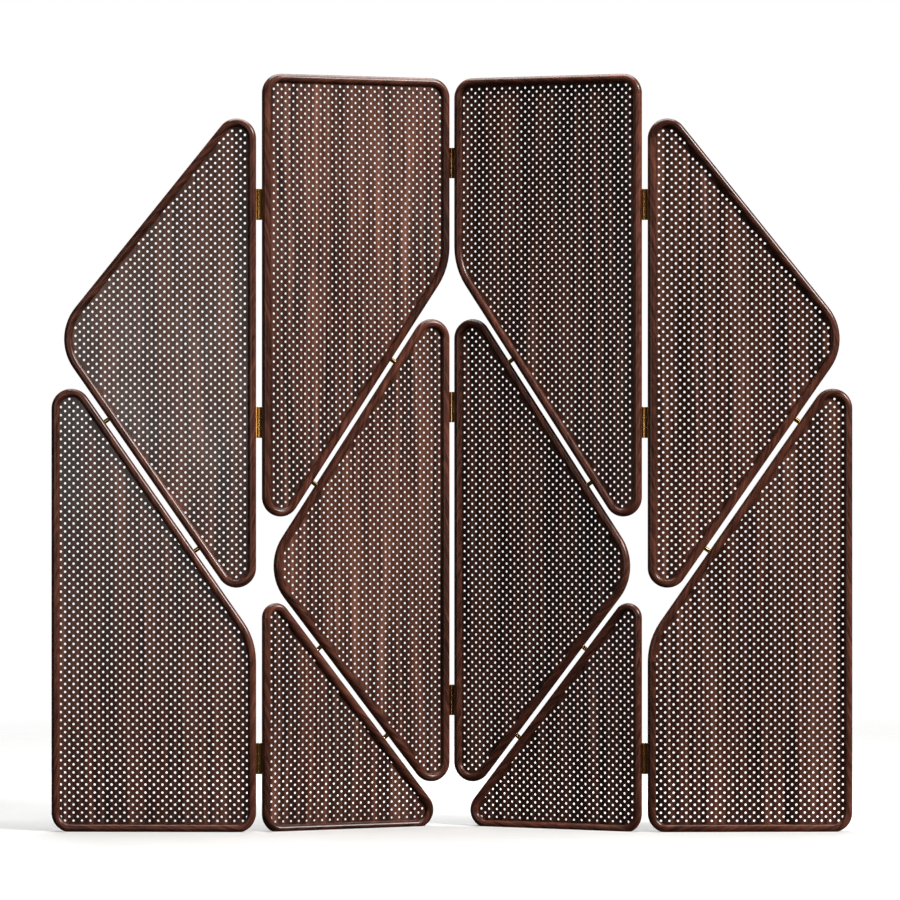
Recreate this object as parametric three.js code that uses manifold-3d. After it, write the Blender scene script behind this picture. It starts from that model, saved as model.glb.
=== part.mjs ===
// Folding screen of four hinged leaves. Each leaf is a stack of rounded hardwood frames, every frame
// holding a thin board in a groove. Brass pins space the frames of a leaf, brass hinges join the leaves.
// Millimetres, +Z up, X across the screen, the front faces -Y, origin at the middle of the footprint.
import * as THREE from "three";
import { mergeVertices } from "three/addons/utils/BufferGeometryUtils.js";
import Module from "manifold-3d";

const wasm = await Module();
wasm.setup();

// The screen
const SCREEN_HEIGHT = 1800;
const LEAF_WIDTH = 486.5;
const LEAF_GAP = 15.5;
const OUTER_LEAF_ANGLE = 1.6;
const INNER_LEAF_ANGLE = 24.5;

// The slanted seams between the frames of a leaf
const STEEP_SLOPE = 55.1;
const SHALLOW_SLOPE = 51.15;
const SEAM_GAP = 12;
const OUTER_POINT_HEIGHT = 1174.5;
const INNER_POINT_HEIGHT = 624.5;

// The frame rails and the boards in them
const RAIL_WIDTH = 20;
const RAIL_THICKNESS = 22;
const RAIL_ROUND = 9.5;
const ROUND_STEPS = 2;
const BOARD_THICKNESS = 2;
const GROOVE_DEPTH = 5;
const OUTER_SOLE_CUT = 2;
const INNER_SOLE_CUT = 5;
const CORNER_RADIUS = 46.8;
const POINT_RADIUS = 120;
const SHOULDER_RADIUS = 166;
const SMALL_TOP_RADIUS = 34.5;
const TOE_RADIUS = 44;
const CORNER_SAGITTA = 3;

// Brass
const PIN_DIAMETER = 10;
const PIN_DEPTH = 8;
const PIN_SIDES = 8;
const HINGE_LENGTH = 73.5;
const BARREL_DIAMETER = 11;
const BARREL_SIDES = 8;
const HINGE_PIN_DIAMETER = 5.6;
const HINGE_PIN_PLAY = 0.06;
const PLATE_THICKNESS = 2.4;
const PLATE_DEPTH = 9;
const FIT = 0.3;

// Heights of the hinge middles, and the places of the pins along each seam from the hinge edge
const OUTER_HINGE_HEIGHTS = [174, 971.3, 1488.5];
const CENTRE_HINGE_HEIGHTS = [301.5, 1008, 1597];
const OUTER_SEAM_PINS = [141.4, 355.2];
const UPPER_SEAM_PINS = [133.2, 338];
const LOWER_SEAM_PINS = [146.5, 319.6];

const radians = THREE.MathUtils.degToRad;
const STEEP = Math.tan(radians(STEEP_SLOPE));
const SHALLOW = Math.tan(radians(SHALLOW_SLOPE));
const STEEP_GAP = SEAM_GAP / Math.cos(radians(STEEP_SLOPE));
const SHALLOW_GAP = SEAM_GAP / Math.cos(radians(SHALLOW_SLOPE));
const EDGE = LEAF_GAP / 2;
const HINGE_PITCH = LEAF_WIDTH + LEAF_GAP;

const wood = (name, colour) =>
  new THREE.MeshStandardMaterial({ name, color: colour, roughness: 0.3 });
const brass = (name) =>
  new THREE.MeshStandardMaterial({ name, color: 0xb08a4a, roughness: 0.25, metalness: 1 });

// A panel is the outline of one frame: corners as [distance from the hinge edge, height, radius].
const outerSeamEdge = OUTER_POINT_HEIGHT - STEEP * LEAF_WIDTH;
const outerUpper = [
  [0, OUTER_POINT_HEIGHT + SHALLOW * LEAF_WIDTH, CORNER_RADIUS],
  [LEAF_WIDTH, OUTER_POINT_HEIGHT, POINT_RADIUS],
  [0, outerSeamEdge, CORNER_RADIUS],
];
const outerLower = [
  [0, outerSeamEdge - STEEP_GAP, SHOULDER_RADIUS],
  [LEAF_WIDTH, OUTER_POINT_HEIGHT - STEEP_GAP, CORNER_RADIUS],
  [LEAF_WIDTH, -OUTER_SOLE_CUT, CORNER_RADIUS],
  [0, -OUTER_SOLE_CUT, CORNER_RADIUS],
];
const innerTop = [
  [0, SCREEN_HEIGHT, CORNER_RADIUS],
  [LEAF_WIDTH, SCREEN_HEIGHT, CORNER_RADIUS],
  [LEAF_WIDTH, INNER_POINT_HEIGHT + STEEP_GAP + STEEP * LEAF_WIDTH, SHOULDER_RADIUS],
  [0, INNER_POINT_HEIGHT + STEEP_GAP, CORNER_RADIUS],
];
const innerMiddle = [
  [0, INNER_POINT_HEIGHT, POINT_RADIUS],
  [LEAF_WIDTH, INNER_POINT_HEIGHT + STEEP * LEAF_WIDTH, CORNER_RADIUS],
  [LEAF_WIDTH, INNER_POINT_HEIGHT - SHALLOW * LEAF_WIDTH, CORNER_RADIUS],
];
const innerFootHeight = INNER_POINT_HEIGHT - SHALLOW_GAP;
const innerBottom = [
  [0, innerFootHeight, SMALL_TOP_RADIUS],
  [(innerFootHeight + INNER_SOLE_CUT) / SHALLOW, -INNER_SOLE_CUT, TOE_RADIUS],
  [0, -INNER_SOLE_CUT, CORNER_RADIUS],
];

// The rounded outline, moved in from the frame's outer edge by a distance.
function outline(corners, inset, side) {
  const points = [];
  corners.forEach(([a, h, radius], i) => {
    const here = new THREE.Vector2(a, h);
    const before = new THREE.Vector2(...corners[(i + corners.length - 1) % corners.length]);
    const after = new THREE.Vector2(...corners[(i + 1) % corners.length]);
    const toBefore = before.sub(here).normalize();
    const toAfter = after.sub(here).normalize();
    const half = Math.acos(toBefore.dot(toAfter)) / 2;
    const inward = toBefore.clone().add(toAfter).normalize();
    const centre = here.clone().addScaledVector(inward, radius / Math.sin(half));
    const turn = Math.PI - 2 * half;
    const step = 2 * Math.acos(1 - CORNER_SAGITTA / radius);
    const steps = Math.ceil(turn / step);
    const spin = Math.sign(toAfter.cross(toBefore));
    for (let k = 0; k <= steps; k++) {
      const swing = spin * turn * (k / steps - 0.5);
      const arm = inward.clone().negate().rotateAround(new THREE.Vector2(), swing);
      const point = centre.clone().addScaledVector(arm, radius - inset);
      points.push(new THREE.Vector2(side * (EDGE + point.x), point.y));
    }
  });
  return points;
}

// Turns a flat outline drawn as (across, up) into one standing in the leaf's plane.
const stand = (geometry, thickness) =>
  geometry.translate(0, 0, -thickness / 2).rotateX(Math.PI / 2);

function solidOf(geometry) {
  const bare = geometry.clone();
  bare.deleteAttribute("normal");
  bare.deleteAttribute("uv");
  const merged = mergeVertices(bare, 1e-3);
  return new wasm.Manifold(
    new wasm.Mesh({
      numProp: 3,
      vertProperties: merged.attributes.position.array,
      triVerts: new Uint32Array(merged.index.array),
    }),
  );
}

function geometryOf(solid) {
  const { vertProperties, triVerts } = solid.getMesh();
  const geometry = new THREE.BufferGeometry();
  geometry.setAttribute("position", new THREE.BufferAttribute(vertProperties, 3));
  geometry.setIndex(new THREE.BufferAttribute(triVerts, 1));
  const flat = geometry.toNonIndexed();
  flat.computeVertexNormals();
  return flat;
}

function plate(corners, inset, thickness, side) {
  const shape = new THREE.Shape(outline(corners, inset, side));
  const flat = new THREE.ExtrudeGeometry(shape, { depth: thickness, bevelEnabled: false });
  return stand(flat, thickness);
}

const block = (width, depth, height, x, z) =>
  new THREE.BoxGeometry(width, depth, height).translate(x, 0, z);

const rod = (radius, length, sides) =>
  new THREE.CylinderGeometry(radius, radius, length, sides).rotateX(Math.PI / 2);

// A pin across a seam, or with some room around it the hole for it.
const seamPin = (room) =>
  rod(PIN_DIAMETER / 2 + room, SEAM_GAP + 2 * (PIN_DEPTH + room), PIN_SIDES);

// Where the pins of a seam sit: square across the gap, each at its distance from the hinge edge.
// The lower edge of the frame above the seam passes through seam.height at the hinge edge.
const pinPlaces = (seam, side) =>
  seam.pins.map((distance) => ({
    x: side * (EDGE + distance),
    z: seam.height + seam.rise * distance - seam.gap / 2,
    tilt: -Math.atan(seam.rise * side),
  }));

const outerSeam = { height: outerSeamEdge, rise: STEEP, gap: STEEP_GAP, pins: OUTER_SEAM_PINS };
const upperSeam = {
  height: INNER_POINT_HEIGHT + STEEP_GAP,
  rise: STEEP,
  gap: STEEP_GAP,
  pins: UPPER_SEAM_PINS,
};
const lowerSeam = {
  height: INNER_POINT_HEIGHT,
  rise: -SHALLOW,
  gap: SHALLOW_GAP,
  pins: LOWER_SEAM_PINS,
};

// The pocket for a hinge plate in a rail; the plate runs from the hinge axis towards `towards`.
const pocket = (axisX, towards, height) =>
  block(
    PLATE_DEPTH + FIT + 4,
    PLATE_THICKNESS + 2 * FIT,
    HINGE_LENGTH + 2 * FIT,
    axisX + towards * (EDGE + (PLATE_DEPTH + FIT - 4) / 2),
    height,
  );

// The rounded body of a frame, or with a negative round the flared opening inside it.
function rounded(corners, inset, round, side) {
  const shape = new THREE.Shape(outline(corners, inset, side));
  const straight = BOARD_THICKNESS + 2 * FIT;
  const body = new THREE.ExtrudeGeometry(shape, {
    depth: straight,
    bevelThickness: (RAIL_THICKNESS - straight) / 2,
    bevelSize: round,
    bevelOffset: -round,
    bevelSegments: ROUND_STEPS,
  });
  return solidOf(stand(body, straight));
}

// A frame: the rounded rail all round, its inner groove, its flat sole and the holes for the brass.
function frame(corners, side, cuts) {
  const slot = plate(
    corners,
    RAIL_WIDTH - GROOVE_DEPTH - FIT,
    BOARD_THICKNESS + 2 * FIT,
    side,
  );
  const floor = block(3 * LEAF_WIDTH, 3 * RAIL_THICKNESS, 100, 0, -50);
  let solid = rounded(corners, 0, RAIL_ROUND, side)
    .subtract(rounded(corners, RAIL_WIDTH, -RAIL_ROUND, side))
    .subtract(solidOf(slot))
    .subtract(solidOf(floor));
  for (const cut of cuts) {
    solid = solid.subtract(solidOf(cut));
  }
  return geometryOf(solid);
}

const board = (corners, side) =>
  plate(corners, RAIL_WIDTH - GROOVE_DEPTH, BOARD_THICKNESS, side);

// One half of a hinge: a plate with its knuckles. The middle half has one knuckle, the other has two.
function hingeHalf(towards, middle) {
  const knuckle = HINGE_LENGTH / 3 - FIT / 2;
  const rows = middle ? [0] : [-1, 1];
  const reach = EDGE + PLATE_DEPTH;
  const clear = BARREL_DIAMETER / 2 + FIT;
  let solid = solidOf(
    block(reach - clear, PLATE_THICKNESS, HINGE_LENGTH, (towards * (reach + clear)) / 2, 0),
  );
  for (const row of rows) {
    const z = (row * HINGE_LENGTH) / 3;
    const web = block(reach, PLATE_THICKNESS, knuckle, (towards * reach) / 2, z);
    const barrel = rod(BARREL_DIAMETER / 2, knuckle, BARREL_SIDES).translate(0, 0, z);
    solid = solid.add(solidOf(web)).add(solidOf(barrel));
  }
  const around = Math.cos(Math.PI / BARREL_SIDES);
  const bore = rod((HINGE_PIN_DIAMETER / 2 + HINGE_PIN_PLAY) / around, 200, BARREL_SIDES);
  return geometryOf(solid.subtract(solidOf(bore)));
}

const screen = new THREE.Group();
screen.name = "folding_screen";
const standing = new THREE.Group();
standing.name = "leaves";
screen.add(standing);

function add(group, name, geometry, material, x = 0, z = 0, tilt = 0) {
  const mesh = new THREE.Mesh(geometry, material);
  mesh.name = name;
  mesh.position.set(x, 0, z);
  mesh.rotation.y = tilt;
  group.add(mesh);
}

// One leaf, turned about its outer hinge axis: its frames from the top down with their boards, then
// the pins across its seams. Side is the way the leaf runs from that axis.
function leaf(name, hingeX, degrees, side, panels, seams, hinges) {
  const group = new THREE.Group();
  group.name = name;
  group.position.x = hingeX;
  group.rotation.z = radians(degrees);
  standing.add(group);
  const cuts = hinges.map(([axis, towards, height]) => pocket(axis, towards, height));
  const places = seams.flatMap((seam) => pinPlaces(seam, side));
  for (const { x, z, tilt } of places) {
    cuts.push(seamPin(FIT).rotateY(tilt).translate(x, 0, z));
  }
  for (const [panelName, corners] of panels) {
    const label = `${name}_${panelName}`;
    add(group, `${label}_frame`, frame(corners, side, cuts), wood("frame_wood", 0x5a3228));
    add(group, `${label}_board`, board(corners, side), wood("board_wood", 0x4b322a));
  }
  places.forEach(({ x, z, tilt }, i) => {
    add(group, `${name}_pin_${i + 1}`, seamPin(0), brass("brass"), x, z, tilt);
  });
  return group;
}

const halfSpan = HINGE_PITCH * Math.cos(radians(INNER_LEAF_ANGLE));
const hingePin = () => rod(HINGE_PIN_DIAMETER / 2, HINGE_LENGTH, BARREL_SIDES);

// The two sides of the screen mirror each other. The hinges of a leaf are listed as
// [place of the axis along the leaf, way from the axis into the leaf, height].
for (const [word, out] of [["left", -1], ["right", 1]]) {
  const outward = OUTER_HINGE_HEIGHTS.map((height) => [0, out, height]);
  const inward = OUTER_HINGE_HEIGHTS.map((height) => [0, -out, height]);
  const central = CENTRE_HINGE_HEIGHTS.map((height) => [-out * HINGE_PITCH, out, height]);
  const outerLeaf = leaf(
    `outer_${word}`,
    out * halfSpan,
    out * OUTER_LEAF_ANGLE,
    out,
    [["upper", outerUpper], ["lower", outerLower]],
    [outerSeam],
    outward,
  );
  const innerLeaf = leaf(
    `inner_${word}`,
    out * halfSpan,
    -out * INNER_LEAF_ANGLE,
    -out,
    [["top", innerTop], ["middle", innerMiddle], ["bottom", innerBottom]],
    [upperSeam, lowerSeam],
    [...inward, ...central],
  );

  // The hinge pins stay with the inner leaf, and those down the middle with the left one.
  OUTER_HINGE_HEIGHTS.forEach((height, i) => {
    const name = `${word}_hinge_${i + 1}`;
    add(outerLeaf, `${name}_outer_plate`, hingeHalf(out, true), brass("brass"), 0, height);
    add(innerLeaf, `${name}_inner_plate`, hingeHalf(-out, false), brass("brass"), 0, height);
    add(innerLeaf, `${name}_pin`, hingePin(), brass("brass"), 0, height);
  });
  central.forEach(([axis, towards, height], i) => {
    const name = `centre_hinge_${i + 1}`;
    const half = hingeHalf(towards, word === "right");
    add(innerLeaf, `${name}_${word}_plate`, half, brass("brass"), axis, height);
    if (word === "left") {
      add(innerLeaf, `${name}_pin`, hingePin(), brass("brass"), axis, height);
    }
  });
}

// Puts the middle of the footprint at the origin.
const bounds = new THREE.Box3().setFromObject(screen, true);
standing.position.y = -(bounds.min.y + bounds.max.y) / 2;

export default screen;
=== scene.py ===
"""Folding screen: rounded hardwood frames round pierced boards, joined by brass hinges and pins.

Every piece is built in the plane of its own leaf, from sizes in millimetres, and then put where the
packed leaf stands. The front faces -Y.
"""

import math

import bmesh
import bpy
import numpy as np
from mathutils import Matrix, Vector
from mathutils.geometry import delaunay_2d_cdt


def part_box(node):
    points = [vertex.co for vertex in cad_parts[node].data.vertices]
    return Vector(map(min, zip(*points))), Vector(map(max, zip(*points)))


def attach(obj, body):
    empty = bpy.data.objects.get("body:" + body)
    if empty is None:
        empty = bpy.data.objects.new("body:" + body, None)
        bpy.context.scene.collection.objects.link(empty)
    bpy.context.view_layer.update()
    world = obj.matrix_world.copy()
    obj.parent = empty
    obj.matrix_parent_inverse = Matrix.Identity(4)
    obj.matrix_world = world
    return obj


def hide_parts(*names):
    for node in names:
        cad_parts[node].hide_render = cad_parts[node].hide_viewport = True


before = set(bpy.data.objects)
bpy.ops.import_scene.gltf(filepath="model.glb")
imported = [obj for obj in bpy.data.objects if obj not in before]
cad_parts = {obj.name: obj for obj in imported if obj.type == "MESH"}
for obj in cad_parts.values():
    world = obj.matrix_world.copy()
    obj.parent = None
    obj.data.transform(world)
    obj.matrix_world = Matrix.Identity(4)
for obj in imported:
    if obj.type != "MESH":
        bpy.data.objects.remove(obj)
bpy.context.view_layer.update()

MM = 0.001

# The leaves and the slanted seams between their frames
SCREEN_HEIGHT = 1800
LEAF_WIDTH = 486.5
LEAF_GAP = 15.5
EDGE = LEAF_GAP / 2
STEEP = math.tan(math.radians(55.1))
SHALLOW = math.tan(math.radians(51.15))
SEAM_GAP = 12
STEEP_GAP = SEAM_GAP / math.cos(math.atan(STEEP))
SHALLOW_GAP = SEAM_GAP / math.cos(math.atan(SHALLOW))
OUTER_POINT_HEIGHT = 1174.5
INNER_POINT_HEIGHT = 624.5
OUTER_SOLE_CUT = 2
INNER_SOLE_CUT = 5

# The rails
RAIL_WIDTH = 20
RAIL_THICKNESS = 22
RAIL_ROUND = 9.5
GROOVE_DEPTH = 5
FIT = 0.3
CORNER_RADIUS = 46.8
POINT_RADIUS = 120
SHOULDER_RADIUS = 166
SMALL_TOP_RADIUS = 34.5
TOE_RADIUS = 44

# The boards and their holes, which stand in rows with every second row moved half a pitch
BOARD_THICKNESS = 2
HOLE_DIAMETER = 5.8
HOLE_SIDES = 12
COLUMN_PITCH = 10.067
ROW_PITCH = 9.532
HOLE_MARGIN = 21.5
NEARER_UPRIGHT = 3.3

# The seam pins, with how far each is thinned at its necks and where a neck starts, is full, rises
# and ends, counted from the rail into the seam
PIN_DIAMETER = 10
PIN_DEPTH = 8
PIN_CHAMFER = 0.6
NECK_DEPTH = 0.25
NECK_STARTS, NECK_FULL, NECK_RISES, NECK_ENDS = -0.3, 0.1, 0.5, 0.8

# The hinges, with how much thinner a pin is at how far in from its end
BARREL_DIAMETER = 11
HINGE_LENGTH = 73.5
HINGE_PIN_DIAMETER = 5.6
HINGE_PIN_END = [(0.9, 0), (0.3, 0.12), (0, 0.45)]
BORE_PLAY = 0.06
KNUCKLE_CHAMFER = 0.35
PLATE_THICKNESS = 2.4
PLATE_DEPTH = 9
PLATE_CHAMFER = 0.25
PLATE_GRIP = 1.2
BACKING_THINNER = 0.02

# How finely the forms are divided, with angles in degrees and lengths in millimetres
SECTION_STEPS = 7
RAIL_CORNER_STEP = 6
BOARD_CORNER_STEP = 12
STRAIGHT_STEP = 60
TURNED_SIDES = 32
SHARP_ANGLE = 38

# How far across and along the tree each piece of wood is cut from the one before
NEXT_ACROSS = 61
NEXT_ALONG = 977

# The camera and the lights, in metres and watts, and the lens in millimetres
CAMERA_AWAY = 12.01
CAMERA_HEIGHT = 0.998
FOCAL_LENGTH = 202.5
SENSOR_WIDTH = 36
LENS_SHIFT = (-0.0021, -0.0431)
FAR_CLIP = 100
WHITE = (1, 1, 1)
WARM = (1, 0.97, 0.94)
WARMER = (1, 0.9, 0.83)
SOFTBOXES = [
    ("overhead", (0, 0.6, 4.4), (0, 0.5, 1), 3.4, 3.2, 215, WHITE),
    ("key", (9.6, -5.8, 7.9), (0, 0, 0.9), 3.4, 3.4, 1650, WARM),
    ("left_strip", (-3.3, -5.6, 1.2), (0, 0, 1), 0.25, 2.4, 12, WHITE),
    ("low_left", (-1.7, -6.2, 1.12), (-0.6, 0, 1.1), 1.8, 0.75, 14, WARMER),
    ("back", (-1.5, 5, 3.2), (0, 0, 0.9), 2.4, 1.6, 25, WHITE),
]
FLOOR_REACH = 6
FLOOR_FADES_FROM = 1.6
FLOOR_FADES_TO = 4.5
ROOM_GLOW = 0.03


# ---------------------------------------------------------------- camera and lights


def studio_camera():
    """A long lens a dozen metres in front of the hinges, a little above half height."""
    lens = bpy.data.cameras.new("camera")
    lens.lens = FOCAL_LENGTH
    lens.sensor_width = SENSOR_WIDTH
    lens.shift_x, lens.shift_y = LENS_SHIFT
    lens.clip_end = FAR_CLIP
    camera = bpy.data.objects.new("camera", lens)
    hinge_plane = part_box("left_hinge_1_pin")[0].y + HINGE_PIN_DIAMETER / 2 * MM
    camera.location = (0, hinge_plane - CAMERA_AWAY, CAMERA_HEIGHT)
    camera.rotation_euler = (math.radians(90), 0, 0)
    bpy.context.scene.collection.objects.link(camera)
    bpy.context.scene.camera = camera


def softbox(name, at, towards, width, height, power, tint):
    """A soft panel of light at a place, facing another."""
    lamp = bpy.data.lights.new(name, "AREA")
    lamp.shape = "RECTANGLE"
    lamp.size = width
    lamp.size_y = height
    lamp.energy = power
    lamp.color = tint
    holder = bpy.data.objects.new(name, lamp)
    holder.location = at
    holder.rotation_euler = (Vector(towards) - Vector(at)).to_track_quat("-Z", "Y").to_euler()
    holder.visible_camera = False
    bpy.context.scene.collection.objects.link(holder)


# ---------------------------------------------------------------- shader sums


class Wire:
    """A socket that shader maths can be written on as ordinary sums."""

    def __init__(self, finish, socket):
        self.finish = finish
        self.socket = socket

    def maths(self, operation, first, second):
        return self.finish.node("ShaderNodeMath", {"operation": operation}, {0: first, 1: second})

    def __add__(self, other):
        return self.maths("ADD", self, other)

    def __radd__(self, other):
        return self.maths("ADD", other, self)

    def __sub__(self, other):
        return self.maths("SUBTRACT", self, other)

    def __rsub__(self, other):
        return self.maths("SUBTRACT", other, self)

    def __mul__(self, other):
        return self.maths("MULTIPLY", self, other)

    def __rmul__(self, other):
        return self.maths("MULTIPLY", other, self)


class Finish:
    """The nodes of a new material, or of the node tree that is given."""

    def __init__(self, name, tree=None):
        self.material = None
        if tree is None:
            self.material = bpy.data.materials.new(name)
            self.material.use_nodes = True
            tree = self.material.node_tree
        self.tree = tree
        self.tree.nodes.clear()

    def node(self, kind, settings=None, sockets=None, out=0):
        """Adds a node: its settings first, then the values or wires of its sockets."""
        made = self.tree.nodes.new(kind)
        for key, value in (settings or {}).items():
            if key == "stops":
                ramp = made.color_ramp
                while len(ramp.elements) < len(value):
                    ramp.elements.new(0.5)
                for element, (place, colour) in zip(ramp.elements, value):
                    element.position = place
                    element.color = (*colour, 1)
            else:
                setattr(made, key, value)
        for key, value in (sockets or {}).items():
            if isinstance(value, Wire):
                self.tree.links.new(value.socket, made.inputs[key])
            else:
                made.inputs[key].default_value = value
        return Wire(self, made.outputs[out]) if len(made.outputs) else None

    def attribute(self, name):
        return self.node("ShaderNodeAttribute", {"attribute_name": name}, out="Vector")

    def scaled(self, vector, factors):
        return self.node("ShaderNodeVectorMath", {"operation": "MULTIPLY"}, {0: vector, 1: factors})

    def moved(self, vector, offset):
        return self.node("ShaderNodeVectorMath", {"operation": "ADD"}, {0: vector, 1: offset})

    def noise(self, place, per_metre, detail, roughness=0.5, distortion=0.0):
        """Noise that changes about so many times in a metre along each axis of the place."""
        sockets = {
            "Vector": self.scaled(place, per_metre),
            "Scale": 1.0,
            "Detail": detail,
            "Roughness": roughness,
            "Distortion": distortion,
        }
        return self.node("ShaderNodeTexNoise", {}, sockets)

    def remap(self, value, low, high, to_low=0.0, to_high=1.0):
        """Stretches low..high to to_low..to_high and stops at those ends."""
        sockets = {0: value, 1: low, 2: high, 3: to_low, 4: to_high}
        return self.node("ShaderNodeMapRange", {"clamp": True}, sockets)

    def ramp(self, value, stops):
        return self.node("ShaderNodeValToRGB", {"stops": stops}, {0: value})

    def blend(self, factor, first, second):
        sockets = {0: factor, 6: first, 7: second}
        return self.node("ShaderNodeMix", {"data_type": "RGBA"}, sockets, out=2)

    def bump(self, height, strength, distance):
        sockets = {"Strength": strength, "Distance": distance, "Height": height}
        return self.node("ShaderNodeBump", {}, sockets)

    def surface(self, sockets):
        """Ends the material in one Principled shader."""
        shader = self.node("ShaderNodeBsdfPrincipled", {}, sockets)
        self.node("ShaderNodeOutputMaterial", {}, {"Surface": shader})
        return self.material


# ---------------------------------------------------------------- finishes


BOARD_TONES = [
    (0.0, (0.020, 0.008, 0.005)),
    (0.30, (0.053, 0.020, 0.013)),
    (0.55, (0.115, 0.042, 0.027)),
    (0.80, (0.180, 0.070, 0.045)),
    (1.0, (0.280, 0.118, 0.079)),
]
RAIL_TONES = [
    (0.0, (0.030, 0.009, 0.005)),
    (0.35, (0.085, 0.026, 0.015)),
    (0.65, (0.150, 0.047, 0.028)),
    (1.0, (0.260, 0.085, 0.052)),
]
BRASS_TONES = [
    (0.0, (0.40, 0.18, 0.04)),
    (0.5, (0.58, 0.31, 0.085)),
    (1.0, (0.70, 0.43, 0.14)),
]
FLOOR_TONES = [(0.3, (0.95, 0.95, 0.945)), (0.7, (0.98, 0.98, 0.975))]

# How often the wood's figure changes in a metre, across, into and along the wood
SWAY = (4, 4, 1.4)
BANDS = (17, 17, 1.2)
PORES = (2600, 2600, 55)
SHEEN = (9, 9, 5)
STRIPE_STRETCH = 0.03
LINE_STRETCH = 0.1
LINES_TO_A_STRIPE = 5
SWAY_WIDTH = 0.05
STRIPE_SHARE, LINE_SHARE, BAND_SHARE = 0.52, 0.16, 0.32
PORE_STRENGTH = 0.4
PORE_SHADE = 0.5
PORE_ROUGHNESS = 0.1

# The same for the brass, where the tool's marks run round the barrel
TOOL_MARKS = (40, 40, 2200)
TARNISH = (30, 30, 12)
BRASS_ROUGHNESS = (0.22, 0.16)

# The part of a noise's values that is stretched to the full range, for each use of it
FIGURE_SPAN = (0.38, 0.63)
PORE_SPAN = (0.60, 0.74)
CLOUDY_SPAN = (0.3, 0.7)

# The strength of a relief and its height in metres
WOOD_RELIEF = (0.25, 0.00008)
BRASS_RELIEF = (0.03, 0.00001)


def hardwood(name, tones, stripes_per_metre, slant, roughness):
    """Dark striped hardwood, with its tones from the dark lines to the palest stripes.

    The grain attribute holds the place across, into and along the wood, and slant is the angle that
    the stripes lean at.
    """
    wood = Finish(name)
    place = wood.attribute("grain")
    sway = (wood.noise(place, SWAY, 2.0) - 0.5) * SWAY_WIDTH
    leaning = wood.node("ShaderNodeCombineXYZ", {}, {0: sway, 1: 0.0, 2: 0.0})
    turn = {"Vector": wood.moved(place, leaning), "Axis": (0, 1, 0), "Angle": slant}
    flow = wood.node("ShaderNodeVectorRotate", {"rotation_type": "AXIS_ANGLE"}, turn)
    across = stripes_per_metre
    finer = across * LINES_TO_A_STRIPE
    stripes = wood.noise(flow, (across, across, across * STRIPE_STRETCH), 3.0, 0.6, 0.2)
    lines = wood.noise(flow, (finer, finer, across * LINE_STRETCH), 3.0, 0.6)
    bands = wood.noise(place, BANDS, 1.0)
    figure = stripes * STRIPE_SHARE + lines * LINE_SHARE + bands * BAND_SHARE
    colour = wood.ramp(wood.remap(figure, *FIGURE_SPAN), tones)
    open_pores = wood.remap(wood.noise(flow, PORES, 1.0), *PORE_SPAN)
    pore_colour = (*[tone * PORE_SHADE for tone in tones[0][1]], 1)
    colour = wood.blend(open_pores * PORE_STRENGTH, colour, pore_colour)
    sheen = wood.noise(place, SHEEN, 3.0)
    rough = wood.remap(sheen, *CLOUDY_SPAN, roughness - 0.05, roughness + 0.06)
    return wood.surface(
        {
            "Base Color": colour,
            "Roughness": rough + open_pores * PORE_ROUGHNESS,
            "Normal": wood.bump(lines * 0.5 - open_pores, *WOOD_RELIEF),
            "Specular IOR Level": 0.5,
        }
    )


def turned_brass():
    """Yellow brass, finely turned, with a little tarnish."""
    brass = Finish("turned_brass")
    place = brass.attribute("grain")
    marks = brass.noise(place, TOOL_MARKS, 2.0)
    tarnish = brass.noise(place, TARNISH, 3.0, 0.55)
    return brass.surface(
        {
            "Base Color": brass.ramp(brass.remap(tarnish, *CLOUDY_SPAN), BRASS_TONES),
            "Metallic": 1.0,
            "Roughness": brass.remap(tarnish, *CLOUDY_SPAN, *BRASS_ROUGHNESS),
            "Normal": brass.bump(marks, *BRASS_RELIEF),
        }
    )


def pale_floor():
    """A near-white floor that fades out a few metres away."""
    paint = Finish("pale_floor")
    place = paint.node("ShaderNodeNewGeometry", out="Position")
    away = paint.node("ShaderNodeVectorMath", {"operation": "LENGTH"}, {0: place}, out="Value")
    tone = paint.ramp(paint.noise(place, (8, 8, 8), 3.0), FLOOR_TONES)
    matt_sockets = {"Base Color": tone, "Roughness": 1.0, "Specular IOR Level": 0.0}
    matt = paint.node("ShaderNodeBsdfPrincipled", {}, matt_sockets)
    clear = paint.node("ShaderNodeBsdfTransparent")
    far = paint.remap(away, FLOOR_FADES_FROM, FLOOR_FADES_TO)
    fade = paint.node("ShaderNodeMixShader", {}, {0: far, 1: matt, 2: clear})
    paint.node("ShaderNodeOutputMaterial", {}, {"Surface": fade})
    return paint.material


# ---------------------------------------------------------------- outlines


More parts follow.
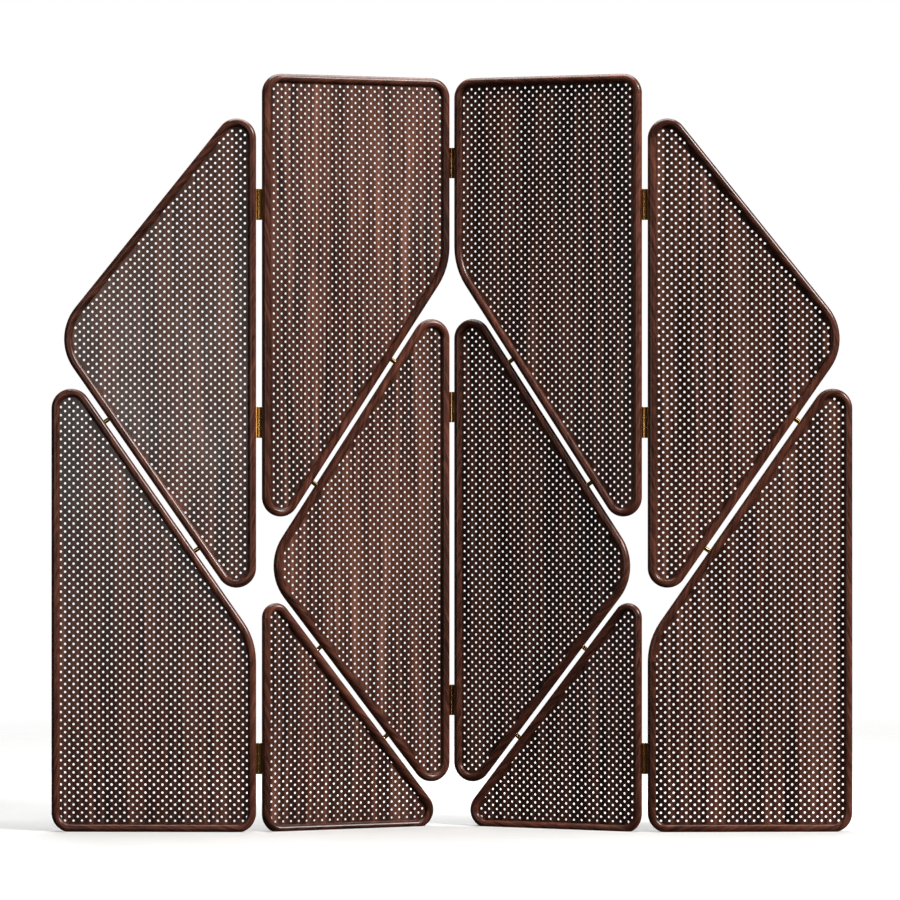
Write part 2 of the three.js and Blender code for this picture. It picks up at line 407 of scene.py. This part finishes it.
class Panel:
    """One frame with its board.

    corners are those of its outline as (distance from the leaf's hinge edge, height, radius), going
    round clockwise from the front. hole is the place that the rows and columns of its holes are
    counted from, nearer is how much closer they come to its upright rails than to the others, and
    sole says that it stands on the floor.
    """

    def __init__(self, name, corners, hole, nearer=0, sole=False):
        self.name = name
        self.corners = corners
        self.hole = hole
        self.nearer = nearer
        self.sole = sole

    def outline(self, inset, corner_step=RAIL_CORNER_STEP, longest=None):
        """Points round the outline moved in by inset, the same number for every inset."""
        points = []
        count = len(self.corners)
        for i, (a, h, radius) in enumerate(self.corners):
            here = Vector((a, h))
            to_before = (Vector(self.corners[i - 1][:2]) - here).normalized()
            to_after = (Vector(self.corners[(i + 1) % count][:2]) - here).normalized()
            half = math.acos(to_before.dot(to_after)) / 2
            inward = (to_before + to_after).normalized()
            centre = here + inward * (radius / math.sin(half))
            turn = math.pi - 2 * half
            steps = math.ceil(math.degrees(turn) / corner_step)
            start = math.atan2(-inward.y, -inward.x) + turn / 2
            for k in range(steps + 1):
                angle = start - turn * k / steps
                arm = Vector((math.cos(angle), math.sin(angle)))
                points.append(centre + arm * (radius - inset))
        return self.with_straights(points, inset, corner_step, longest)

    def with_straights(self, points, inset, corner_step, longest):
        """The points with every stretch longer than longest split, alike for every inset."""
        if longest is None:
            return np.array(points)
        outer = points if inset == 0 else self.outline(0, corner_step)
        split = []
        for k, point in enumerate(points):
            after = points[(k + 1) % len(points)]
            span = (Vector(outer[(k + 1) % len(points)]) - Vector(outer[k])).length
            parts = math.ceil(span / longest)
            split += [point.lerp(after, part / parts) for part in range(parts)]
        return np.array(split)

    def holes(self):
        """The hole centres."""
        edge = self.outline(HOLE_MARGIN)
        low, high = edge.min(0), edge.max(0)
        across, up = self.hole
        first_row = math.ceil((low[1] - up) / ROW_PITCH)
        last_row = math.floor((high[1] - up) / ROW_PITCH)
        first_column = math.ceil((low[0] - self.nearer - across) / COLUMN_PITCH)
        last_column = math.floor((high[0] + self.nearer - across) / COLUMN_PITCH)
        centres = []
        for row in range(first_row, last_row + 1):
            for column in range(first_column, last_column + 1):
                if (row + column) % 2 == 0:
                    a, h = across + column * COLUMN_PITCH, up + row * ROW_PITCH
                    inwards = math.copysign(self.nearer, (low[0] + high[0]) / 2 - a)
                    if inside(edge, (a, h)) or inside(edge, (a + inwards, h)):
                        centres.append((a, h))
        return np.array(centres)


def inside(clockwise, spot):
    """Whether a spot lies in a convex outline that runs clockwise."""
    sides = np.roll(clockwise, -1, axis=0) - clockwise
    arms = np.array(spot) - clockwise
    return bool((sides[:, 0] * arms[:, 1] - sides[:, 1] * arms[:, 0] <= 0).all())


def panels():
    """The five frames of a half of the screen, those of the outer leaf first."""
    seam_edge = OUTER_POINT_HEIGHT - STEEP * LEAF_WIDTH
    foot_height = INNER_POINT_HEIGHT - SHALLOW_GAP
    width = LEAF_WIDTH
    upper = [
        (0, OUTER_POINT_HEIGHT + SHALLOW * width, CORNER_RADIUS),
        (width, OUTER_POINT_HEIGHT, POINT_RADIUS),
        (0, seam_edge, CORNER_RADIUS),
    ]
    lower = [
        (0, seam_edge - STEEP_GAP, SHOULDER_RADIUS),
        (width, OUTER_POINT_HEIGHT - STEEP_GAP, CORNER_RADIUS),
        (width, -OUTER_SOLE_CUT, CORNER_RADIUS),
        (0, -OUTER_SOLE_CUT, CORNER_RADIUS),
    ]
    top = [
        (0, SCREEN_HEIGHT, CORNER_RADIUS),
        (width, SCREEN_HEIGHT, CORNER_RADIUS),
        (width, INNER_POINT_HEIGHT + STEEP_GAP + STEEP * width, SHOULDER_RADIUS),
        (0, INNER_POINT_HEIGHT + STEEP_GAP, CORNER_RADIUS),
    ]
    middle_panel = [
        (0, INNER_POINT_HEIGHT, POINT_RADIUS),
        (width, INNER_POINT_HEIGHT + STEEP * width, CORNER_RADIUS),
        (width, INNER_POINT_HEIGHT - SHALLOW * width, CORNER_RADIUS),
    ]
    bottom = [
        (0, foot_height, SMALL_TOP_RADIUS),
        ((foot_height + INNER_SOLE_CUT) / SHALLOW, -INNER_SOLE_CUT, TOE_RADIUS),
        (0, -INNER_SOLE_CUT, CORNER_RADIUS),
    ]
    return (
        [
            Panel("upper", upper, (399.2, 900.5)),
            Panel("lower", lower, (454.2, 883.9), NEARER_UPRIGHT, sole=True),
        ],
        [
            Panel("top", top, (29.4, 886.9)),
            Panel("middle", middle_panel, (88.0, 898.9)),
            Panel("bottom", bottom, (33.3, 899.8), NEARER_UPRIGHT, sole=True),
        ],
    )


# ---------------------------------------------------------------- leaves


def middle(node):
    """The middle of a node's box."""
    low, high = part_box(node)
    return (low + high) / 2


class Leaf:
    """The plane a leaf stands in, worked out from its outer hinge axis and one of its pins."""

    def __init__(self, name, hinge_pin, seam_pin, side):
        self.name = name
        self.body = f"{name}_leaf"
        self.side = side
        self.axis = middle(hinge_pin)
        along = middle(seam_pin) - self.axis
        along.z = 0
        self.along = along.normalized()
        self.back = Vector((-self.along.y, self.along.x, 0)) * side

    def place(self, points):
        """Points given as (distance from the hinge axis, depth to the back, height), in the frame."""
        across, depth, height = np.asarray(points, float).T * MM
        ground = np.outer(across, self.along.to_2d()) + np.outer(depth, self.back.to_2d())
        return np.column_stack([ground + np.array(self.axis.to_2d()), height])

    def way_to(self, spot):
        """A spot of the frame as the leaf counts it."""
        return (spot - self.axis).to_2d().length / MM, 0, spot.z / MM


def piece(name, leaf, points, faces, grain, finish, bake=None):
    """A mesh in a leaf's plane. Faces run anticlockwise seen from outside on a right-hand leaf.

    grain is given for each point, or for each corner of each face, in mm, and bake, the place on the
    piece's map, for each corner of each face.
    """
    if leaf.side < 0:
        faces = [face[::-1] for face in faces]
        grain = grain if len(grain) == len(points) else reversed_corners(grain, faces)
        bake = None if bake is None else reversed_corners(bake, faces)
    mesh = bpy.data.meshes.new(name)
    mesh.from_pydata(leaf.place(points), [], faces)
    where = "POINT" if len(grain) == len(points) else "CORNER"
    mesh.attributes.new("grain", "FLOAT_VECTOR", where).data.foreach_set(
        "vector", (np.asarray(grain, np.float32) * MM).ravel()
    )
    if bake is not None:
        layer = mesh.uv_layers.new(name="OFBake")
        layer.uv.foreach_set("vector", np.asarray(bake, np.float32).ravel())
    mesh.shade_smooth()
    mesh.set_sharp_from_angle(angle=math.radians(SHARP_ANGLE))
    mesh.materials.append(finish)
    made = bpy.data.objects.new(name, mesh)
    bpy.context.scene.collection.objects.link(made)
    return made


def reversed_corners(values, faces):
    """Values listed corner by corner, turned round within each face."""
    values = np.asarray(values)
    flipped = np.empty_like(values)
    start = 0
    for face in faces:
        end = start + len(face)
        flipped[start:end] = values[start:end][::-1]
        start = end
    return flipped


# ---------------------------------------------------------------- frames

# The map of a frame: its rail unrolled in rows, one above the other, with a row more for the sole
MAP_ROWS = 6
ROW_MARGIN = 0.03
SOLE_MARGIN = 0.02


def rail_section():
    """The rail's section as (inset, depth): nearly round, with the groove for the board inside."""
    slot = BOARD_THICKNESS / 2 + FIT
    rise = RAIL_THICKNESS / 2 - slot
    angles = [math.pi / 2 * k / SECTION_STEPS for k in range(SECTION_STEPS + 1)]
    quarter = [(RAIL_ROUND * (1 - math.cos(t)), slot + rise * math.sin(t)) for t in angles]
    front = [(inset, -depth) for inset, depth in quarter]
    front += [(RAIL_WIDTH - inset, -depth) for inset, depth in reversed(quarter)]
    floor = RAIL_WIDTH - GROOVE_DEPTH - FIT
    back = [(inset, -depth) for inset, depth in reversed(front)]
    return front + [(floor, -slot), (floor, slot)] + back


def rail_frame(leaf, panel, finish, piece_of_wood):
    """The frame of a panel: its rail's section carried round the outline."""
    section = rail_section()
    rings = [panel.outline(inset, RAIL_CORNER_STEP, STRAIGHT_STEP) for inset, _ in section]
    count = len(rings[0])
    points = [(EDGE + a, depth, h) for (_, depth), ring in zip(section, rings) for a, h in ring]
    crest = rings[len(section) // 4]
    steps = np.linalg.norm(np.roll(crest, -1, axis=0) - crest, axis=1)
    run = np.concatenate([[0], np.cumsum(steps)])
    sides = [math.dist(p, q) for p, q in zip(section, section[1:] + section[:1])]
    girth = np.concatenate([[0], np.cumsum(sides)])
    row_length = run[-1] / MAP_ROWS
    row_span = row_length + 2 * STRAIGHT_STEP
    first_across, first_along = NEXT_ACROSS * piece_of_wood, NEXT_ALONG * piece_of_wood
    faces, grain, bake = [], [], []
    for p in range(len(section)):
        q = (p + 1) % len(section)
        for k in range(count):
            m = (k + 1) % count
            faces.append((p * count + k, p * count + m, q * count + m, q * count + k))
            row = min(int((run[k] + run[k + 1]) / 2 / row_length), MAP_ROWS - 1)
            for around, ahead in ((p, k), (p, k + 1), (p + 1, k + 1), (p + 1, k)):
                inset, depth = section[around % len(section)]
                grain.append((inset + first_across, depth, run[ahead] + first_along))
                across = (run[ahead] - row * row_length + STRAIGHT_STEP) / row_span
                turned_by = ROW_MARGIN + (1 - 2 * ROW_MARGIN) * girth[around] / girth[-1]
                bake.append((across, (row + turned_by) / (MAP_ROWS + 1)))
    made = piece(f"{leaf.name}_{panel.name}_rails", leaf, points, faces, grain, finish, bake)
    if panel.sole:
        cut_sole(made.data)
    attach(made, leaf.body)
    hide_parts(f"{leaf.name}_{panel.name}_frame")


def cut_sole(mesh):
    """Cuts a frame off flat at the floor and closes the cut."""
    work = bmesh.new()
    work.from_mesh(mesh)
    everything = work.verts[:] + work.edges[:] + work.faces[:]
    cut = bmesh.ops.bisect_plane(
        work, geom=everything, plane_co=(0, 0, 0), plane_no=(0, 0, -1), clear_outer=True
    )
    rim = [item for item in cut["geom_cut"] if isinstance(item, bmesh.types.BMEdge)]
    closed = bmesh.ops.holes_fill(work, edges=rim, sides=0)["faces"]
    grain = work.loops.layers.float_vector["grain"]
    bake = work.loops.layers.uv["OFBake"]
    for face in closed:
        face.smooth = False
        low = Vector(min((v.co for v in face.verts), key=lambda co: co.x))
        span = max((v.co - low).length for v in face.verts)
        for loop in face.loops:
            off = loop.vert.co - low
            loop[grain] = (off.y, off.z, off.x)
            up = (MAP_ROWS + 0.5 + off.y / span) / (MAP_ROWS + 1)
            loop[bake].uv = (SOLE_MARGIN + (1 - 2 * SOLE_MARGIN) * off.length / span, up)
    work.to_mesh(mesh)
    work.free()


# ---------------------------------------------------------------- boards

# The map of a board: a border round it, in mm, and how far the walls of the holes reach to their
# centres and the outer wall past the outline
MAP_BORDER = 3
HOLE_WALL_REACH = 0.55
OUTER_WALL_REACH = 1.5
SAME_POINT = 1e-4

flat_boards = {}


def flat_board(panel):
    """A board's flat face: its points, its triangles and the loops round it and its holes."""
    if panel.name not in flat_boards:
        edge = panel.outline(RAIL_WIDTH - GROOVE_DEPTH, BOARD_CORNER_STEP)[::-1]
        turns = 2 * math.pi * np.arange(HOLE_SIDES) / HOLE_SIDES
        circle = np.column_stack([np.cos(turns), np.sin(turns)])
        rims = [centre + circle * HOLE_DIAMETER / 2 for centre in panel.holes()]
        points = [Vector(point) for point in np.concatenate([edge, *rims])]
        starts = range(len(edge), len(points), HOLE_SIDES)
        rings = [list(range(len(edge)))]
        rings += [list(range(start, start + HOLE_SIDES)) for start in starts]
        corners, _, triangles, sources, _, covers = delaunay_2d_cdt(points, [], rings, 1, SAME_POINT)
        new_place = {old: new for new, olds in enumerate(sources) for old in olds}
        solid = [face for face, cover in zip(triangles, covers) if len(cover) == 1]
        loops = [[new_place[old] for old in ring] for ring in rings]
        flat_boards[panel.name] = np.array(corners), solid, loops
    return flat_boards[panel.name]


def board(leaf, panel, finish, piece_of_wood):
    """The thin board of a panel, pierced right through."""
    corners, triangles, loops = flat_board(panel)
    count = len(corners)
    half = BOARD_THICKNESS / 2
    front = np.column_stack([EDGE + corners[:, 0], np.full(count, -half), corners[:, 1]])
    back = front + (0, BOARD_THICKNESS, 0)
    points = np.concatenate([front, back])
    low, high = corners.min(0), corners.max(0)
    spread = high - low + 2 * MAP_BORDER

    def on_map(spots, side):
        unit = (np.asarray(spots) - low + MAP_BORDER) / spread
        return np.column_stack([(unit[:, 0] + side) / 2, unit[:, 1]])

    flat = np.array(triangles)
    faces = flat.tolist() + (flat[:, ::-1] + count).tolist()
    bake = [on_map(corners[flat.ravel()], 0), on_map(corners[flat[:, ::-1].ravel()], 1)]
    for number, loop in enumerate(loops):
        ring = np.array(loop)
        if number:
            ring = ring[::-1]
        after = np.roll(ring, -1)
        faces += np.column_stack([ring, ring + count, after + count, after]).tolist()
        here, there = corners[ring], corners[after]
        centre = here.mean(0)
        reach = HOLE_WALL_REACH if number else 1 + OUTER_WALL_REACH / (here - centre).max()
        far, far_after = centre + (here - centre) * reach, centre + (there - centre) * reach
        bake.append(on_map(np.stack([here, far, far_after, there], 1).reshape(-1, 2), 0))
    grain = points + (NEXT_ACROSS * piece_of_wood, 0, NEXT_ALONG * piece_of_wood)
    name = f"{leaf.name}_{panel.name}_pierced_board"
    made = piece(name, leaf, points, faces, grain, finish, np.concatenate(bake))
    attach(made, leaf.body)
    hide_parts(f"{leaf.name}_{panel.name}_board")


# ---------------------------------------------------------------- brass


def band(lower, upper):
    """The faces between two rings of a turned form, each given by its first point."""
    pairs = [(k, (k + 1) % TURNED_SIDES) for k in range(TURNED_SIDES)]
    return [(lower + k, lower + m, upper + m, upper + k) for k, m in pairs]


def turned(profile):
    """A form turned about the height axis from (radius, height) pairs, from the bottom up."""
    turns = [2 * math.pi * k / TURNED_SIDES for k in range(TURNED_SIDES)]
    points = [(r * math.cos(t), r * math.sin(t), h) for r, h in profile for t in turns]
    starts = [ring * TURNED_SIDES for ring in range(len(profile))]
    faces = [face for pair in zip(starts, starts[1:]) for face in band(*pair)]
    return points, faces


def solid_turning(profile):
    """A turned form closed with flat ends."""
    points, faces = turned(profile)
    top = len(points) - TURNED_SIDES
    faces.append(tuple(range(TURNED_SIDES))[::-1])
    faces.append(tuple(range(top, len(points))))
    return points, faces


def knuckle(bottom, top):
    """A short tube with its outer rims chamfered."""
    outer = BARREL_DIAMETER / 2
    bore = HINGE_PIN_DIAMETER / 2 + BORE_PLAY
    profile = [
        (bore, bottom),
        (outer - KNUCKLE_CHAMFER, bottom),
        (outer, bottom + KNUCKLE_CHAMFER),
        (outer, top - KNUCKLE_CHAMFER),
        (outer - KNUCKLE_CHAMFER, top),
        (bore, top),
    ]
    points, faces = turned(profile)
    return points, faces + band(len(points) - TURNED_SIDES, 0)


def plate(near, far, thickness, bottom, top):
    """A flat plate from near to far along the leaf, in either order, with its long edges chamfered."""
    half = thickness / 2
    thin = half - PLATE_CHAMFER
    section = [
        (-half, bottom + PLATE_CHAMFER),
        (-thin, bottom),
        (thin, bottom),
        (half, bottom + PLATE_CHAMFER),
        (half, top - PLATE_CHAMFER),
        (thin, top),
        (-thin, top),
        (-half, top - PLATE_CHAMFER),
    ]
    count = len(section)
    points = [(x, y, z) for x in sorted((near, far)) for y, z in section]
    faces = [tuple(range(count))[::-1], tuple(range(count, 2 * count))]
    faces += [(k, (k + 1) % count, count + (k + 1) % count, count + k) for k in range(count)]
    return points, faces


def joined(parts):
    """Several closed forms as one list of points and faces."""
    points, faces = [], []
    for some_points, some_faces in parts:
        start = len(points)
        points += [tuple(p) for p in some_points]
        faces += [tuple(start + v for v in face) for face in some_faces]
    return points, faces


def brass_piece(name, leaf, form, node, finish, centre, tilt=0.0):
    """A brass form that stands for a node, tilted in its leaf's plane round a centre."""
    points, faces = form
    across, depth, height = leaf.way_to(centre)
    cos, sin = math.cos(tilt), math.sin(tilt)
    placed = [
        (x * cos + z * sin + across, y + depth, z * cos - x * sin + height) for x, y, z in points
    ]
    made = piece(name, leaf, placed, faces, points, finish)
    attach(made, leaf.body)
    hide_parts(node)


def hinge_half(towards, single):
    """The knuckles of a hinge half and the plate let into the rail, to one side of the pin.

    towards is 1 or -1 along the leaf, and a single half has the middle knuckle alone.
    """
    third = HINGE_LENGTH / 3
    play = FIT / 4
    outer = BARREL_DIAMETER / 2
    far = towards * (EDGE + PLATE_DEPTH)
    parts = []
    for row in [0] if single else [-1, 1]:
        bottom, top = (row - 0.5) * third + play, (row + 0.5) * third - play
        parts.append(knuckle(bottom, top))
        parts.append(plate(towards * (outer - PLATE_GRIP), far, PLATE_THICKNESS, bottom, top))
    half = HINGE_LENGTH / 2
    thickness = PLATE_THICKNESS - BACKING_THINNER
    parts.append(plate(towards * (outer + play), far, thickness, -half, half))
    return joined(parts)


def hinge_pin():
    """The pin through the knuckles, with slightly rounded ends."""
    radius, half = HINGE_PIN_DIAMETER / 2, HINGE_LENGTH / 2
    lower = [(radius - thinner, inwards - half) for thinner, inwards in HINGE_PIN_END]
    upper = [(r, -z) for r, z in reversed(lower)]
    return solid_turning(lower + upper)


def seam_pin():
    """The turned pin between two frames, thinned by a hair's breadth where it meets each rail."""
    radius, rail = PIN_DIAMETER / 2, -SEAM_GAP / 2
    end = rail - PIN_DEPTH
    lower = [
        (radius - PIN_CHAMFER, end),
        (radius, end + PIN_CHAMFER),
        (radius, rail + NECK_STARTS),
        (radius - NECK_DEPTH, rail + NECK_FULL),
        (radius - NECK_DEPTH, rail + NECK_RISES),
        (radius, rail + NECK_ENDS),
    ]
    upper = [(r, -z) for r, z in reversed(lower)]
    return solid_turning(lower + upper)


def place_seam_pins(leaf, slopes, finish):
    """Stands a pin at each node's place, square across its seam."""
    for number, slope in enumerate(slopes, 1):
        node = f"{leaf.name}_pin_{number}"
        name = f"{leaf.name}_seam_pin_{number}"
        brass_piece(name, leaf, seam_pin(), node, finish, middle(node), -math.atan(slope))


def place_hinge(name, halves, pin_leaf, finish):
    """Builds a hinge round its pin, each half in the plane of its own leaf."""
    pin_node = f"{name}_pin"
    axis = middle(pin_node)
    for word, leaf, towards, single in halves:
        node = f"{name}_{word}_plate"
        brass_piece(f"{name}_{word}_half", leaf, hinge_half(towards, single), node, finish, axis)
    brass_piece(f"{name}_centre_pin", pin_leaf, hinge_pin(), pin_node, finish, axis)


# ---------------------------------------------------------------- floor and room


def studio_floor():
    """A flat square of floor that only the camera sees."""
    mesh = bpy.data.meshes.new("floor")
    low, high = -FLOOR_REACH, FLOOR_REACH
    corners = [(low, low, 0), (high, low, 0), (high, high, 0), (low, high, 0)]
    mesh.from_pydata(corners, [], [(0, 1, 2, 3)])
    mesh.materials.append(pale_floor())
    floor = bpy.data.objects.new("floor", mesh)
    floor.visible_diffuse = False
    floor.visible_glossy = False
    bpy.context.scene.collection.objects.link(floor)
    return floor


def studio_world():
    """A white room to look at, which sheds next to no light on the screen."""
    world = bpy.data.worlds.new("studio")
    world.use_nodes = True
    bpy.context.scene.world = world
    room = Finish("studio", world.node_tree)
    seen = room.node("ShaderNodeLightPath", out="Is Camera Ray")
    strength = seen * (1 - ROOM_GLOW) + ROOM_GLOW
    sockets = {"Color": (*WHITE, 1), "Strength": strength}
    backdrop = room.node("ShaderNodeBackground", {}, sockets)
    room.node("ShaderNodeOutputWorld", {}, {"Surface": backdrop})


# ---------------------------------------------------------------- the screen

studio_camera()

board_wood = hardwood("striped_board_wood", BOARD_TONES, 65, 0.0, 0.23)
rail_wood = hardwood("polished_rail_wood", RAIL_TONES, 150, math.radians(20), 0.26)
brass = turned_brass()

outer_panels, inner_panels = panels()
leaves = {}
wood_count = 0
for word, side in (("left", -1), ("right", 1)):
    for part, way, own_panels in (("outer", side, outer_panels), ("inner", -side, inner_panels)):
        leaf = Leaf(f"{part}_{word}", f"{word}_hinge_1_pin", f"{part}_{word}_pin_1", way)
        leaves[leaf.name] = leaf
        for panel in own_panels:
            wood_count += 1
            rail_frame(leaf, panel, rail_wood, wood_count)
            board(leaf, panel, board_wood, wood_count)

for word in ("left", "right"):
    place_seam_pins(leaves[f"outer_{word}"], [STEEP] * 2, brass)
    place_seam_pins(leaves[f"inner_{word}"], [STEEP] * 2 + [-SHALLOW] * 2, brass)

for number in (1, 2, 3):
    for word in ("left", "right"):
        outer, inner = leaves[f"outer_{word}"], leaves[f"inner_{word}"]
        halves = [("outer", outer, 1, True), ("inner", inner, 1, False)]
        place_hinge(f"{word}_hinge_{number}", halves, inner, brass)
    left, right = leaves["inner_left"], leaves["inner_right"]
    halves = [("right", right, -1, True), ("left", left, -1, False)]
    place_hinge(f"centre_hinge_{number}", halves, left, brass)

studio_floor()
studio_world()
for light in SOFTBOXES:
    softbox(*light)

bpy.context.scene.view_settings.view_transform = "Standard"
bpy.context.scene.view_settings.look = "None"
